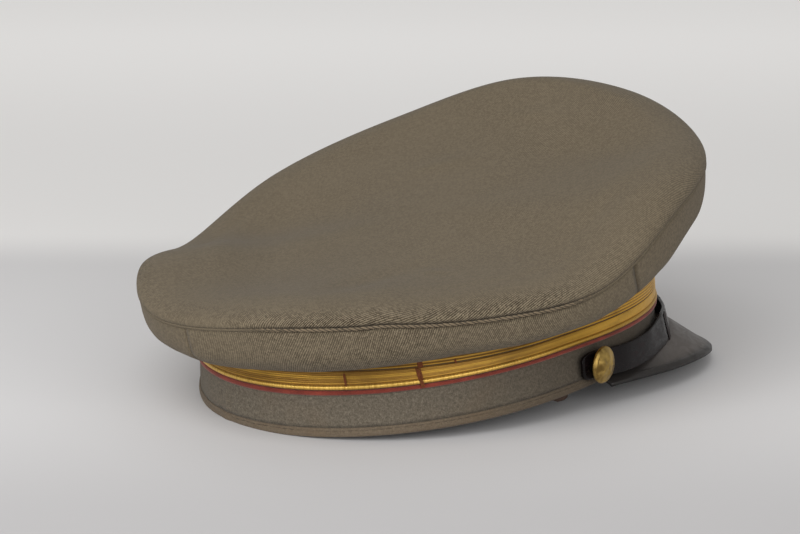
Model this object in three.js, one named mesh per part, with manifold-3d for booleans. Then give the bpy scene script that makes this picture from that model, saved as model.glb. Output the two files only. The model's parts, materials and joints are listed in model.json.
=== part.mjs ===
// Peaked cap with a large soft crown that leans to the rear, lying on a table: the rear of its band and
// the front of its peak touch the ground. Millimetres, +Z up, peak towards -Y, wearer's right towards -X.
// Places round the band are angles from the front: 90 is the wearer's right, 180 the rear, 270 the left.
// A point near the band is (out, up): out from the band's cloth, and up from the band's lower edge.

import * as THREE from 'three';
import Module from 'manifold-3d';

const degree = Math.PI / 180;
const clearance = 0.3;
const ringSteps = 64;

// Head band: outside of its cloth, seen from above
const bandHalfLength = 103;
const bandHalfWidth = 84.5;
const frontFullness = 2.2;
const clothWall = 2.2;
const noseUpPitch = 6.3 * degree;

// Heights on the band, and how far its trim dips towards the peak
const hemLower = -0.5;
const hemHeight = 3.6;
const trimHeight = 16.6;
const trimDip = 7.5;
const bandAboveTrim = 20.3;
const trimProud = 1.2;
const hemProud = 0.9;
const rearFlare = 1.4;

// Finishes
const twill = { color: 0x7b705e, roughness: 0.95, metalness: 0 };
const bandCloth = { color: 0x6e6a60, roughness: 0.95, metalness: 0 };
const goldLace = { color: 0xb08a3c, roughness: 0.45, metalness: 0.6 };
const redCloth = { color: 0x8c3b30, roughness: 0.9, metalness: 0 };
const darkRedCloth = { color: 0x5a2a20, roughness: 0.9, metalness: 0 };
const patentLeather = { color: 0x1d1b1b, roughness: 0.3, metalness: 0 };
const sweatLeather = { color: 0x3a2a22, roughness: 0.7, metalness: 0 };
const brass = { color: 0xb39a55, roughness: 0.4, metalness: 0.85 };

// Trim rows, upwards from the trim height
const trimRows = [
  { name: 'piping_red', height: 2.0, ribs: 1, proud: 1.4, finish: redCloth },
  { name: 'braid_lower', height: 8.6, ribs: 3, proud: trimProud, finish: goldLace },
  { name: 'braid_upper', height: 6.2, ribs: 2, proud: trimProud, finish: goldLace },
  { name: 'piping_top', height: 1.5, ribs: 1, proud: trimProud, finish: darkRedCloth },
];
const ribDepth = 0.3;
const ribGrooveShare = 0.08;

// Crown: where its seam runs (reach out from the band, height) and how far the top rises above the seam
const crownStations = [
  { angle: 0, reach: 27, seam: 83.5, rise: 9.5 },
  { angle: 30, reach: 26, seam: 73, rise: 10 },
  { angle: 60, reach: 22, seam: 65.5, rise: 10.5 },
  { angle: 90, reach: 24.5, seam: 47.5, rise: 9.5 },
  { angle: 120, reach: 20, seam: 49, rise: 8 },
  { angle: 150, reach: 27, seam: 53, rise: 7.5 },
  { angle: 180, reach: 26.5, seam: 49.5, rise: 7 },
  { angle: 210, reach: 21, seam: 52.5, rise: 7 },
  { angle: 240, reach: 22, seam: 43.5, rise: 7.5 },
  { angle: 270, reach: 24, seam: 58, rise: 9.5 },
  { angle: 300, reach: 22.5, seam: 71, rise: 11 },
  { angle: 330, reach: 24.5, seam: 84.5, rise: 11 },
];
const crownCloth = 2;
const crownSag = 7;
const shoulderInset = 18.8;
const shoulderSwell = 2;
const shoulderBulgeRise = 0.45;
const shoulderTurn = 0.25;
const foldHeight = 31.6;
const foldHeightFront = 52.3;
const foldReach = 0.5;
const bellyReach = 0.9;
const bellyRise = 0.33;
const bellyRiseFront = 0.43;
const crownRootOut = -1.2;
const rollOut = 2.6;
const rollOutFront = 1.8;
const rollUp = -0.6;
const rollUpFront = 5;
const puckerDepth = 0.5;
const puckerWaves = [
  { count: 11, phase: 0.6, share: 1 },
  { count: 17, phase: 2.1, share: 0.6 },
];

// Panels of the crown side, from one seam to the next in ring steps from the front
const quarterSeam = 13;
const crownPanels = [
  { name: 'crown_side_front', from: -quarterSeam, to: quarterSeam },
  { name: 'crown_side_right', from: quarterSeam, to: ringSteps / 2 },
  { name: 'crown_side_left', from: ringSteps / 2, to: ringSteps - quarterSeam },
];
const weltWidth = 2.4;
const weltProud = 0.9;
const weltRoot = 1.6;

// Peak, chin strap and buttons
const peakHalfAngle = 83 * degree;
const peakDepth = 43;
const peakEndDepth = 3;
const peakOutlinePower = 1.8;
const peakSlopeFront = 34.5 * degree;
const peakSlopeEnd = 25 * degree;
const peakLeather = 1.8;
const peakRootOut = -1.6;
const strapWidth = 11.5;
const strapLeather = 1.4;
const strapOut = 2.4;
const strapStandOff = 4.6;
const strapStandOffAngle = 52 * degree;
const strapSag = 4.3;
const strapSagAngle = 35 * degree;
const strapLean = 10.5 * degree;
const strapHalfAngle = 86.5 * degree;
const strapFrontTop = 8;
const keeperAngle = 43 * degree;
const keeperWidth = 5;
const keeperLeather = 0.6;
const buttonAngle = 80 * degree;
const buttonHeight = 8.9;
const buttonDiameter = 15.3;
const buttonPostDiameter = 3.2;
const buttonPostStart = 0.7;
const buttonStandOff = 1;

// Sweatband, inside the band
const sweatbandLeather = 1.1;
const sweatbandHeight = 30;
const sweatbandLower = 0.2;

const { lerp } = THREE.MathUtils;
const ringAngles = Array.from({ length: ringSteps }, (_, i) => (i * 2 * Math.PI) / ringSteps);

// How much a place belongs to the front: 1 at the peak's middle, 0 from the sides to the rear
const frontShare = (angle) => Math.max(Math.cos(angle), 0) ** 1.5;
const trimBase = (angle) => trimHeight - trimDip * frontShare(angle);
const bandTop = (angle) => trimBase(angle) + bandAboveTrim;
const flare = (angle) => (rearFlare * (1 - Math.cos(angle))) / 2;

// Band outline: an ellipse at the rear and a fuller superellipse at the front
function bandOutline(angle) {
  const across = Math.sin(angle);
  const along = Math.cos(angle);
  const power = along > 0 ? frontFullness : 2;
  const size = (Math.abs(across) ** power + Math.abs(along) ** power) ** (-1 / power);
  const point = new THREE.Vector2(-bandHalfWidth * across * size, -bandHalfLength * along * size);
  const slope = (value, half) => (Math.sign(value) * Math.abs(value / half) ** (power - 1)) / half;
  const normal = new THREE.Vector2(slope(point.x, bandHalfWidth), slope(point.y, bandHalfLength));
  return { point, normal: normal.normalize() };
}

function place(angle, out, up) {
  const { point, normal } = bandOutline(angle);
  return new THREE.Vector3(point.x + normal.x * out, point.y + normal.y * out, up);
}

// Height of the ground under a place, seen in the cap's own tilted frame
const groundHeight = (y) => -(bandHalfLength - y) * Math.tan(noseUpPitch);

function crownStation(angle) {
  const rows = crownStations.map((row) => new THREE.Vector3(row.reach, row.seam, row.rise));
  const curve = new THREE.CatmullRomCurve3(rows, true, 'catmullrom', 0.5);
  const at = curve.getPoint((angle / (2 * Math.PI)) % 1);
  return { reach: at.x, seam: at.y, rise: at.z };
}

// Side of the crown from the band to the seam, as (out, up): over the trim, down to a sagging fold, up again
function sideProfile(angle) {
  const { reach, seam } = crownStation(angle);
  const front = frontShare(angle);
  const base = bandTop(angle) + clearance;
  const fold = lerp(foldHeight, foldHeightFront, front);
  const belly = fold + lerp(bellyRise, bellyRiseFront, front) * (seam - fold);
  return new THREE.SplineCurve([
    new THREE.Vector2(crownRootOut, base),
    new THREE.Vector2(lerp(rollOut, rollOutFront, front), base + lerp(rollUp, rollUpFront, front)),
    new THREE.Vector2(foldReach * reach, fold),
    new THREE.Vector2(bellyReach * reach, belly),
    new THREE.Vector2(reach, seam),
  ]);
}

// Shoulder from the seam over to the level top
function shoulderProfile(angle) {
  const { reach, seam, rise } = crownStation(angle);
  return new THREE.CubicBezierCurve(
    new THREE.Vector2(reach, seam),
    new THREE.Vector2(reach + shoulderSwell, seam + shoulderBulgeRise * rise),
    new THREE.Vector2(reach - shoulderTurn * shoulderInset, seam + rise),
    new THREE.Vector2(reach - shoulderInset, seam + rise),
  );
}

// Gentle puckers, strongest halfway between band and seam
function pucker(angle, share) {
  const waves = puckerWaves.map((wave) => wave.share * Math.sin(wave.count * angle + wave.phase));
  return puckerDepth * (waves[0] + waves[1]) * Math.sin(Math.PI * share);
}

// A point of a profile, moved inwards by depth along the profile's normal
function profilePoint(profile, share, depth) {
  const at = profile.getPoint(share);
  const along = profile.getTangent(share);
  return new THREE.Vector2(at.x - along.y * depth, at.y + along.x * depth);
}

// Faces between neighbouring loops of points, which run round the outside of a closed body
function joinLoops(faces, first, second, count) {
  for (let j = 0; j < count; j += 1) {
    const k = (j + 1) % count;
    faces.push(first + j, first + k, second + k, first + j, second + k, second + j);
  }
}

function bodyGeometry(points, faces) {
  let volume = 0;
  for (let i = 0; i < faces.length; i += 3) {
    const [a, b, c] = [points[faces[i]], points[faces[i + 1]], points[faces[i + 2]]];
    volume += a.dot(b.clone().cross(c));
  }
  const outward = volume > 0 ? faces : faces.toReversed();
  const geometry = new THREE.BufferGeometry().setFromPoints(points);
  geometry.setIndex(outward);
  geometry.computeVertexNormals();
  return geometry;
}

// Closed ring: one section, a closed list of (out, up), at each ring angle
function ringGeometry(section) {
  const loops = ringAngles.map((angle) => section(angle).map(([out, up]) => place(angle, out, up)));
  const count = loops[0].length;
  const faces = [];
  loops.forEach((_, i) => joinLoops(faces, i * count, ((i + 1) % ringSteps) * count, count));
  return bodyGeometry(loops.flat(), faces);
}

// Strip with two ends. A section runs along one face and back along the other, so rungs fill the ends
function stripGeometry(loops) {
  const count = loops[0].length;
  const last = (loops.length - 1) * count;
  const faces = [];
  for (let i = 0; i < loops.length - 1; i += 1) {
    joinLoops(faces, i * count, (i + 1) * count, count);
  }
  for (let j = 0; j < count / 2 - 1; j += 1) {
    const k = count - 1 - j;
    faces.push(j, k, k - 1, j, k - 1, j + 1);
    faces.push(last + j, last + j + 1, last + k - 1, last + j, last + k - 1, last + k);
  }
  return bodyGeometry(loops.flat(), faces);
}

// Round shell: level loops from the rim up to an outer pole, and an inner set back down to the rim
function domeGeometry(outerLoops, outerPole, innerLoops, innerPole) {
  const loops = [...outerLoops.toReversed(), ...innerLoops];
  const points = loops.flat();
  const outerTip = points.length;
  const innerTip = outerTip + 1;
  const last = (loops.length - 1) * ringSteps;
  const faces = [];
  for (let i = 0; i < loops.length - 1; i += 1) {
    joinLoops(faces, i * ringSteps, (i + 1) * ringSteps, ringSteps);
  }
  for (let j = 0; j < ringSteps; j += 1) {
    const k = (j + 1) % ringSteps;
    faces.push(outerTip, k, j, innerTip, last + j, last + k);
  }
  return bodyGeometry([...points, outerPole, innerPole], faces);
}

function piece(name, geometry, { color, roughness, metalness }) {
  const material = new THREE.MeshStandardMaterial({ color, roughness, metalness });
  const mesh = new THREE.Mesh(geometry, material);
  mesh.name = name;
  return mesh;
}

// Band hem: the folded lower edge, flattened where it lies on the ground at the rear
function bandHem() {
  const upper = hemHeight - clearance;
  const section = (angle) => {
    const proud = hemProud + flare(angle);
    const inner = flare(angle) - clothWall;
    const rest = (out, up) => [out, Math.max(up, groundHeight(place(angle, out, up).y))];
    return [
      rest(inner, hemLower),
      rest(proud, hemLower),
      [proud + 0.2, (hemLower + upper) / 2],
      [proud - 0.2, upper],
      [inner, upper],
    ];
  };
  return piece('band_hem', ringGeometry(section), twill);
}

function bandRing() {
  const section = (angle) => [
    [flare(angle) - clothWall, hemHeight],
    [flare(angle), hemHeight],
    [0, trimBase(angle)],
    [0, bandTop(angle)],
    [-clothWall, bandTop(angle)],
  ];
  return piece('band', ringGeometry(section), bandCloth);
}

// A row of trim: flat back, face in as many rounded ribs as the row has
function trimRow({ name, height, ribs, proud, finish }, start) {
  const groove = proud - ribDepth;
  const rib = height / ribs;
  const section = (angle) => {
    const base = trimBase(angle) + start;
    const face = [];
    for (let i = 0; i < ribs; i += 1) {
      face.push([groove, base + rib * (i + ribGrooveShare)], [proud, base + rib * (i + 0.5)]);
    }
    return [[clearance, base], ...face, [groove, base + height], [clearance, base + height]];
  };
  return piece(name, ringGeometry(section), finish);
}

function trim() {
  let start = 0;
  return trimRows.map((row) => {
    const mesh = trimRow(row, start);
    start += row.height + clearance;
    return mesh;
  });
}

function sweatband() {
  const outer = -clothWall - clearance;
  const inner = outer - sweatbandLeather;
  const section = () => [
    [inner, sweatbandLower],
    [outer, sweatbandLower],
    [outer, sweatbandHeight],
    [inner, sweatbandHeight],
  ];
  return piece('sweatband', ringGeometry(section), sweatLeather);
}

// Crown side: puckered walls between the band and the seam, joined at the rear and at each quarter seam
function crownSide({ name, from, to }) {
  const rows = 8;
  const seamGap = clearance / 2 / bandHalfWidth;
  const ringStep = (2 * Math.PI) / ringSteps;
  const angles = Array.from({ length: to - from + 1 }, (_, i) => ringStep * (from + i));
  angles[0] += seamGap;
  angles[to - from] -= seamGap;
  const loops = angles.map((angle) => {
    const profile = sideProfile(angle);
    const edge = crownStation(angle).seam - weltWidth / 2 - clearance;
    let endShare = 1;
    while (profile.getPoint(endShare).y > edge) endShare -= 0.002;
    const wall = (depth) => (share) => {
      const at = profilePoint(profile, share, depth);
      return place(angle, at.x + pucker(angle, share), at.y);
    };
    const shares = Array.from({ length: rows }, (_, j) => (endShare * j) / (rows - 1));
    return [...shares.map(wall(0)), ...shares.toReversed().map(wall(crownCloth))];
  });
  return piece(name, stripGeometry(loops), twill);
}

// Seam welt: a raised strip in the join between side and top
function crownWelt() {
  const section = (angle) => {
    const { reach, seam } = crownStation(angle);
    const half = weltWidth / 2;
    return [
      [reach - weltRoot, seam - 0.3 * half],
      [reach + 0.1, seam - half],
      [reach + weltProud, seam - 0.4 * half],
      [reach + weltProud, seam + 0.4 * half],
      [reach + 0.1, seam + half],
      [reach - weltRoot, seam + 0.3 * half],
    ];
  };
  return piece('crown_welt', ringGeometry(section), twill);
}

// Heights along the crown's crest as a mean, a lean to the front and the right, and what is left over
function crestLean(heights) {
  const mean = heights.reduce((sum, height) => sum + height, 0) / ringSteps;
  const leanTo = (wave) => {
    const sum = heights.reduce((total, height, i) => total + height * wave(ringAngles[i]), 0);
    return (2 / ringSteps) * sum;
  };
  const front = leanTo(Math.cos);
  const right = leanTo(Math.sin);
  const lean = ringAngles.map((angle) => front * Math.cos(angle) + right * Math.sin(angle));
  const rest = heights.map((height, i) => height - mean - lean[i]);
  return { mean, lean, rest };
}

// Crown top: the shoulder from the seam inwards, then loops that shrink to the centre and sag there
function crownTop() {
  const shoulderShares = [0, 0.3, 0.65, 1];
  const topShares = [0.92, 0.8, 0.64, 0.43, 0.21];
  const crest = ringAngles.map((angle) => shoulderProfile(angle).getPoint(1));
  const { mean, lean, rest } = crestLean(crest.map((at) => at.y));
  const shoulder = (share, depth) =>
    ringAngles.map((angle) => {
      const profile = shoulderProfile(angle);
      const edge = crownStation(angle).seam + weltWidth / 2 + clearance;
      let startShare = 0;
      while (profile.getPoint(startShare).y < edge) startShare += 0.002;
      const at = profilePoint(profile, startShare + (1 - startShare) * share, depth);
      return place(angle, at.x, at.y);
    });
  const levelTop = (share, depth) =>
    ringAngles.map((angle, i) => {
      const rim = place(angle, crest[i].x, crest[i].y);
      const sag = crownSag * (1 - share ** 4) ** 1.5;
      const up = mean + lean[i] * share + rest[i] * share ** 2 - sag - depth;
      return new THREE.Vector3(rim.x * share, rim.y * share, up);
    });
  const outer = [...shoulderShares.map((s) => shoulder(s, 0)), ...topShares.map((s) => levelTop(s, 0))];
  const inner = [
    shoulder(0, crownCloth),
    shoulder(0.5, crownCloth),
    shoulder(1, crownCloth),
    levelTop(0.8, crownCloth),
    levelTop(0.6, crownCloth),
    levelTop(0.3, crownCloth),
  ];
  const pole = (depth) => new THREE.Vector3(0, 0, mean - crownSag - depth);
  return piece('crown_top', domeGeometry(outer, pole(0), inner, pole(crownCloth)), twill);
}

// Peak: a curved plate, steepest and deepest at the front, pressed flat where it lies on the ground
function peak() {
  const steps = 40;
  const rows = 5;
  const rootUp = hemLower - clearance;
  const loops = Array.from({ length: steps + 1 }, (_, i) => {
    const angle = peakHalfAngle * ((2 * i) / steps - 1);
    const depthShare = Math.cos((Math.PI / 2) * Math.abs(angle / peakHalfAngle)) ** peakOutlinePower;
    const depth = peakEndDepth + (peakDepth - peakEndDepth) * depthShare;
    const slope = peakSlopeEnd + (peakSlopeFront - peakSlopeEnd) * depthShare;
    const drop = peakLeather / Math.cos(slope);
    const under = (share) => {
      const out = peakRootOut + depth * share * Math.cos(slope);
      const at = place(angle, out, rootUp - drop - depth * share * Math.sin(slope));
      at.z = Math.max(at.z, groundHeight(at.y));
      return at;
    };
    const shares = Array.from({ length: rows }, (_, j) => j / (rows - 1));
    const lowerFace = shares.map(under);
    const upperFace = lowerFace.map((at) => at.clone().setZ(at.z + drop));
    return [...lowerFace, ...upperFace.toReversed()];
  });
  return piece('peak', stripGeometry(loops), patentLeather);
}

// Chin strap: hangs from the buttons, leans and stands off the band at the front and rests on the peak
function nearPeak(angle, halfAngle) {
  const share = Math.min(Math.abs(angle) / halfAngle, 1);
  return Math.cos((Math.PI / 2) * share) ** 2;
}

const strapInside = (angle) => strapOut + strapStandOff * nearPeak(angle, strapStandOffAngle);

function strapSection(angle, wall, width = strapWidth) {
  const towardsButton = Math.min(Math.abs(angle / buttonAngle), 1) ** 5;
  const buttonTop = buttonHeight + strapWidth / 2;
  const sag = strapSag * nearPeak(angle, strapSagAngle);
  const top = lerp(strapFrontTop, buttonTop, towardsButton) - sag;
  const lean = strapLean * (1 - towardsButton);
  const inside = strapInside(angle);
  const corner = (down, outward) =>
    place(
      angle,
      inside + down * Math.sin(lean) + outward * Math.cos(lean),
      top - down * Math.cos(lean) + outward * Math.sin(lean),
    );
  const upper = (strapWidth - width) / 2 - wall;
  const lower = (strapWidth + width) / 2 + wall;
  const face = strapLeather + wall;
  return [corner(lower, -wall), corner(lower, face), corner(upper, face), corner(upper, -wall)];
}

function strapGeometry() {
  const steps = 60;
  const roundEnd = 3 * degree;
  const endWidthShare = 0.62;
  const loops = Array.from({ length: steps + 1 }, (_, i) => {
    const angle = strapHalfAngle * ((2 * i) / steps - 1);
    const fromEnd = Math.min((strapHalfAngle - Math.abs(angle)) / roundEnd, 1);
    const width = strapWidth * lerp(endWidthShare, 1, Math.sqrt(1 - (1 - fromEnd) ** 2));
    return strapSection(angle, 0, width);
  });
  return stripGeometry(loops);
}

// Keeper: a flat loop of leather round the strap
function keeperGeometry(side) {
  const halfSpread = keeperWidth / 2 / bandHalfLength;
  const near = side * (keeperAngle - halfSpread);
  const far = side * (keeperAngle + halfSpread);
  const hole = clearance;
  const skin = clearance + keeperLeather;
  const corners = [[near, hole], [far, hole], [far, skin], [near, skin]];
  const loops = corners.map(([angle, wall]) => strapSection(angle, wall));
  const faces = [];
  loops.forEach((_, i) => joinLoops(faces, i * 4, ((i + 1) % 4) * 4, 4));
  return bodyGeometry(loops.flat(), faces);
}

// Button: a dome with a rim, on a post that passes through the strap
function buttonProfile() {
  const radius = buttonDiameter / 2;
  const post = buttonPostDiameter / 2;
  const back = strapOut + strapLeather + buttonStandOff - buttonPostStart;
  return [
    [0, 0], [post, 0], [post, back], [radius - 0.8, back], [radius, back + 0.5], [radius, back + 1.1],
    [radius - 0.7, back + 1.5], [radius * 0.72, back + 2.6], [radius * 0.4, back + 3.4], [0, back + 3.8],
  ].map(([r, h]) => new THREE.Vector2(r, h));
}

function button(name, side) {
  const mesh = piece(name, new THREE.LatheGeometry(buttonProfile(), 16), brass);
  const angle = side * buttonAngle;
  const { normal } = bandOutline(angle);
  const axis = new THREE.Vector3(normal.x, normal.y, 0);
  mesh.position.copy(place(angle, buttonPostStart, buttonHeight));
  mesh.quaternion.setFromUnitVectors(new THREE.Vector3(0, 1, 0), axis);
  return mesh;
}

// Joining and cutting of closed bodies
const wasm = await Module();
wasm.setup();

function solidOf(geometry, matrix) {
  const moved = geometry.clone();
  if (matrix) moved.applyMatrix4(matrix);
  const vertProperties = new Float32Array(moved.attributes.position.array);
  const triVerts = new Uint32Array(moved.index.array);
  const mesh = new wasm.Mesh({ numProp: 3, vertProperties, triVerts });
  mesh.merge();
  return new wasm.Manifold(mesh);
}

function geometryOf(solid) {
  const { vertProperties, triVerts } = solid.getMesh();
  const geometry = new THREE.BufferGeometry();
  geometry.setAttribute('position', new THREE.BufferAttribute(vertProperties, 3));
  geometry.setIndex(new THREE.BufferAttribute(triVerts, 1));
  geometry.computeVertexNormals();
  return geometry;
}

// The strap has a hole for each button's post
function chinStrap(buttons) {
  const radius = buttonPostDiameter / 2 + clearance;
  const hole = new THREE.CylinderGeometry(radius, radius, 12, 16);
  let strap = solidOf(strapGeometry());
  buttons.forEach((mesh) => {
    mesh.updateMatrix();
    strap = strap.subtract(solidOf(hole, mesh.matrix));
  });
  return piece('chin_strap', geometryOf(strap), patentLeather);
}

function capPieces() {
  const buttons = [button('button_right', 1), button('button_left', -1)];
  const keepers = [
    piece('strap_keeper_right', keeperGeometry(1), patentLeather),
    piece('strap_keeper_left', keeperGeometry(-1), patentLeather),
  ];
  return [
    crownTop(), ...crownPanels.map(crownSide), crownWelt(), bandRing(), bandHem(), ...trim(), sweatband(),
    peak(), chinStrap(buttons), ...keepers, ...buttons,
  ];
}

// The cap is pitched nose up about the rear of its band, then centred over the origin on the ground
function restingCap() {
  const cap = new THREE.Group();
  cap.add(...capPieces());
  cap.rotation.x = -noseUpPitch;
  const part = new THREE.Group();
  part.add(cap);
  part.updateMatrixWorld(true);
  const box = new THREE.Box3().setFromObject(part, true);
  const middle = box.getCenter(new THREE.Vector3());
  cap.position.set(-middle.x, -middle.y, -box.min.z);
  return part;
}

export default restingCap();
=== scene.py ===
import json
import math

import bpy
import numpy as np
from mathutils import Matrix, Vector


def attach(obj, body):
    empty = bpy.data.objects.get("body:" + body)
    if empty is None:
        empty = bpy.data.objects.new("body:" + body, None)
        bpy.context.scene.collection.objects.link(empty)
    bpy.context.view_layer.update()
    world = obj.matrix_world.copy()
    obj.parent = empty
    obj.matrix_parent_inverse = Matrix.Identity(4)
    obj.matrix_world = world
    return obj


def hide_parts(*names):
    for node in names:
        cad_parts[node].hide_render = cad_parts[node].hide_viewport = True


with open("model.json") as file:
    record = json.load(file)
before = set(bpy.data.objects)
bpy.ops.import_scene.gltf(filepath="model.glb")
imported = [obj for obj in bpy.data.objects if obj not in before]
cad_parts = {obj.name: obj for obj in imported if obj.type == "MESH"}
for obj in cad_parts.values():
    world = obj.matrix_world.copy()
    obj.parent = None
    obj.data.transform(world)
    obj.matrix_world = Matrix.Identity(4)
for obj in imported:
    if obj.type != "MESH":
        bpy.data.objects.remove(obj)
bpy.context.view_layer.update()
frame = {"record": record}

# A soft peaked cap that lies on a table. Sizes are millimetres in the cap's own frame: the band's lower edge
# is level at height 0, the peak points to -y and the wearer's right is -x. An angle t goes round the band
# from the front, with 90 degrees at the wearer's right, and (out, up) is out from the band's cloth and up.

degree = math.pi / 180
turn = 2 * math.pi
opening = next(mount for mount in frame["record"]["mounts"] if mount["name"] == "head_opening")
capPitch = math.asin(-opening["axis"][1])  # nose up
capOrigin = np.array(opening["pos_m"])
gap = 0.3  # between neighbouring pieces
groundGap = 0.02  # above the table


def toPart(points):
    x, y, z = np.moveaxis(np.asarray(points, float), -1, 0)
    c, s = math.cos(capPitch), math.sin(capPitch)
    return np.stack([x, y * c + z * s, z * c - y * s], -1) / 1000 + capOrigin


def lerp(a, b, share):
    return a + (b - a) * share


def smooth(value, low, high):  # 0 below low, 1 above high, soft between
    share = np.clip((np.asarray(value, float) - low) / (high - low), 0, 1)
    return share * share * (3 - 2 * share)


def bell(distance, width):
    return np.exp(-(distance / width) ** 2)


def waves(t, table, shift=0):
    return sum(size * np.sin(count * t + phase + shift) for count, phase, size in table)


def angleGap(t, centre):  # signed way round from centre to t
    return (np.asarray(t) - centre + math.pi) % turn - math.pi


def catmull(p0, p1, p2, p3, f):
    m1, m2 = (p2 - p0) / 2, (p3 - p1) / 2
    return ((2 * p1 - 2 * p2 + m1 + m2) * f - 3 * p1 + 3 * p2 - 2 * m1 - m2) * f * f + m1 * f + p1


# Head band and the heights on it. A table of waves has the count, phase and size of each
band = {"halfLength": 103, "halfWidth": 84.5, "frontFullness": 2.2, "wall": 2.2, "rearFlare": 1.4,
        "trimHeight": 16.6, "trimDip": 7.5, "aboveTrim": 20.3, "steps": 384,
        "wrinkle": 0.16, "wrinkleWaves": ((23, 0.4, 1), (41, 2.2, 0.7), (67, 5.1, 0.5)),
        "rearSeam": 0.7, "rearSeamWidth": 1.6 * degree}


def frontShare(t):  # 1 at the peak's middle, 0 from the sides to the rear
    return np.maximum(np.cos(t), 0) ** 1.5


def trimBase(t):
    return band["trimHeight"] - band["trimDip"] * frontShare(t)


def bandTop(t):
    return trimBase(t) + band["aboveTrim"]


def flare(t):
    return band["rearFlare"] * (1 - np.cos(t)) / 2


def outline(t):  # an ellipse at the rear and a fuller superellipse at the front
    across, along = np.sin(t), np.cos(t)
    power = np.where(along > 0, band["frontFullness"], 2.0)
    size = (np.abs(across) ** power + np.abs(along) ** power) ** (-1 / power)
    half = np.array([band["halfWidth"], band["halfLength"]])
    point = np.stack([-across * size, -along * size], -1) * half
    slope = np.sign(point) * np.abs(point / half) ** (power[..., None] - 1) / half
    return point, slope / np.linalg.norm(slope, axis=-1, keepdims=True)


def place(t, out, up):
    t, out, up = np.broadcast_arrays(np.asarray(t, float), out, up)
    point, normal = outline(t)
    return np.concatenate([point + normal * out[..., None], up[..., None]], -1)


def groundHeight(y):  # the table under a place
    return -(band["halfLength"] - y) * math.tan(capPitch)


def normals(t):
    return np.concatenate([outline(t)[1], np.zeros((len(t), 1))], 1)


def arcTable(out, up=0.0):  # way round the cap from the front, as a function of t
    t = np.linspace(-turn, 2 * turn, 3073)
    path = place(t, out(t), up)
    steps = np.linalg.norm(np.diff(path, axis=0), axis=1)
    length = np.concatenate([[0], np.cumsum(steps)])
    length -= np.interp(0, t, length)
    return lambda angle: np.interp(angle, t, length)


bandArc = arcTable(lambda t: 0 * t)


# Meshes from rows of points
def linked(name, data):
    made = bpy.data.objects.new(name, data)
    bpy.context.scene.collection.objects.link(made)
    return made


def meshObject(name, points, faces, uv, material):
    flat = np.asarray(points).reshape(-1, 3)
    a, b, c = (flat[[face[k] for face in faces]] for k in range(3))
    if np.einsum("ij,ij->i", a, np.cross(b, c)).sum() < 0:  # the faces point inwards
        faces = [face[::-1] for face in faces]
        uv = [corner[::-1] for corner in uv]
    mesh = bpy.data.meshes.new(name)
    mesh.from_pydata(toPart(flat).tolist(), [], [list(map(int, face)) for face in faces])
    layer = mesh.uv_layers.new(name="weave")
    layer.data.foreach_set("uv", np.concatenate([np.asarray(corner, float) for corner in uv]).ravel())
    mesh.polygons.foreach_set("use_smooth", [True] * len(mesh.polygons))
    mesh.materials.append(material)
    mesh.update()
    return linked(name, mesh)


def quads(rowCount, count, closedRows, closedCount):
    i, j = (k.ravel() for k in np.meshgrid(np.arange(rowCount - (not closedRows)),
                                           np.arange(count - (not closedCount)), indexing="ij"))
    i2, j2 = (i + 1) % rowCount, (j + 1) % count
    faces = np.stack([i * count + j, i * count + j2, i2 * count + j2, i2 * count + j], -1)
    return faces, np.stack([i, j, i, j + 1, i + 1, j + 1, i + 1, j], -1).reshape(-1, 4, 2)


def store(piece, name, values):
    layer = piece.data.attributes.new(name, "FLOAT", "POINT")
    layer.data.foreach_set("value", np.asarray(values, float).ravel())


def shadeSeam(piece, seam, worn):  # how much each point lies in a seam's shade, and how worn it is
    store(piece, "seam", seam)
    store(piece, "worn", worn)


def sweep(name, rows, uv, material, closed=True):
    # rows (n, c, 3) are closed sections, uv is (n + 1 if closed, c + 1, 2). An open sweep has filled ends
    n, c = rows.shape[:2]
    faces, grid = quads(n, c, closed, True)
    faceList, uvList = list(faces), list(uv[grid[..., 0], grid[..., 1]])
    for row, way in () if closed else ((0, 1), (n - 1, -1)):
        for j in range(c // 2 - 1):
            rung = [j, c - 1 - j, c - 2 - j, j + 1][::way]
            faceList.append([row * c + k for k in rung])
            uvList.append([uv[row, k] for k in rung])
    return meshObject(name, rows, faceList, uvList, material)


def poledMesh(name, rows, uv, poles, material):  # rows (n, c, 3) stand in a ring, each from pole to pole
    n, c = rows.shape[:2]
    faces, grid = quads(n, c, True, False)
    uv = np.concatenate([uv, uv[:1]], 0)
    faceList, uvList = list(faces), list(uv[grid[..., 0], grid[..., 1]])
    for pole, column, way in ((n * c, 0, 1), (n * c + 1, c - 1, -1)):
        for i in range(n):
            faceList.append([pole, i * c + column, (i + 1) % n * c + column][::way])
            uvList.append([(0, 0), uv[i, column], uv[i + 1, column]][::way])
    return meshObject(name, np.concatenate([rows.reshape(-1, 3), poles]), faceList, uvList, material)


def climbed(rows):  # how far each point is along its row
    steps = np.linalg.norm(np.diff(rows, axis=1), axis=-1)
    return np.concatenate([np.zeros((len(rows), 1)), np.cumsum(steps, 1)], 1)


def sectionUv(rows, along):  # along the path by along, and round the section by its own length
    across = climbed(np.concatenate([rows, rows[:, :1]], 1))
    if len(along) > len(rows):  # the path is closed
        across = np.concatenate([across, across[:1]], 0)
    return np.stack([np.repeat(along[:, None], across.shape[1], 1), across], -1)


def ringPiece(name, section, material, steps=None):
    # section(t) gives the (out, up) of a closed section as a list of pairs of arrays over t
    t = np.arange(steps or band["steps"]) * turn / (steps or band["steps"])
    rows = np.stack([place(t, out, up) for out, up in section(t)], 1)
    return sweep(name, rows, sectionUv(rows, bandArc(np.append(t, turn))), material)


def dress(piece, slot, *nodes):  # every piece stays with the cap's one body
    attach(piece, "root")
    if nodes:
        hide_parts(*nodes)
    return piece


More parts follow.
